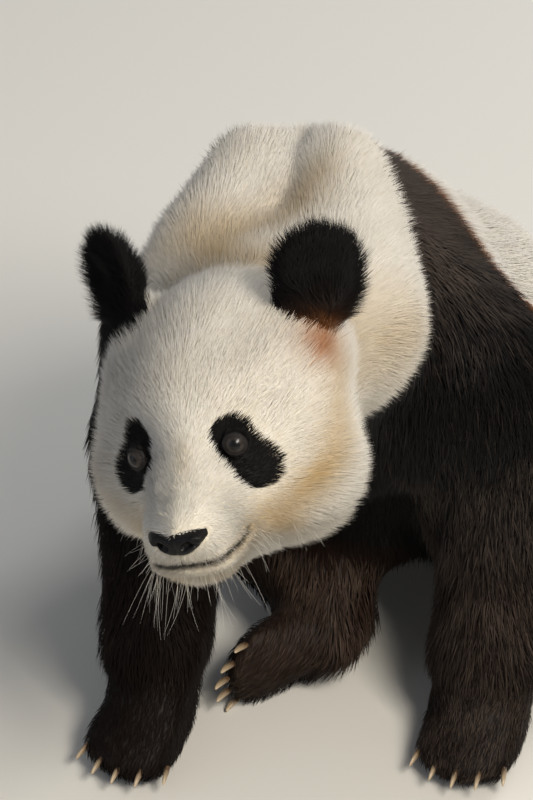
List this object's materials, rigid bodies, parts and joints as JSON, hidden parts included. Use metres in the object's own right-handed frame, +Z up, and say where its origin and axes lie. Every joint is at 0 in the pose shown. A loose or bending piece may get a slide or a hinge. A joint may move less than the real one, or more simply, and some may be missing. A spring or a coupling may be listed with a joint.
{
  "type": "giant panda model",
  "caption": "Life-size still model of a giant panda sitting on its rump, forelegs propped in front, head turned to its right and tilted.",
  "frame": {"origin": "middle of the bounding box, on the floor", "axes": "+Z up, +Y from the face to the tail, +X to the panda's left"},
  "size_m": [0.6984, 1.138, 0.8123],
  "materials": {
    "white_fur": "dense cream-white fur, stained ochre in the folds",
    "black_fur": "coarse brown-black fur",
    "nose_pad": "black pebbled skin, slightly moist",
    "eye": "dark brown, wet gloss",
    "claw": "pale horn, worn at the tip"
  },
  "bodies": {
    "root": {"ear_left": "black_fur", "ear_right": "black_fur", "eye_left": "eye", "eye_right": "eye", "front_left_claw_1": "claw", "front_left_claw_2": "claw", "front_left_claw_3": "claw", "front_left_claw_4": "claw", "front_left_claw_5": "claw", "front_left_leg": "black_fur", "front_left_paw": "black_fur", "front_right_claw_1": "claw", "front_right_claw_2": "claw", "front_right_claw_3": "claw", "front_right_claw_4": "claw", "front_right_claw_5": "claw", "front_right_leg": "black_fur", "front_right_paw": "black_fur", "head": "white_fur", "hind_left_claw_1": "claw", "hind_left_claw_2": "claw", "hind_left_claw_3": "claw", "hind_left_claw_4": "claw", "hind_left_claw_5": "claw", "hind_left_leg": "black_fur", "hind_left_paw": "black_fur", "hind_right_claw_1": "claw", "hind_right_claw_2": "claw", "hind_right_claw_3": "claw", "hind_right_claw_4": "claw", "hind_right_claw_5": "claw", "hind_right_leg": "black_fur", "hind_right_paw": "black_fur", "neck": "white_fur", "nose": "nose_pad", "shoulders": "black_fur", "tail": "white_fur", "trunk": "white_fur"}
  },
  "joints": []
}
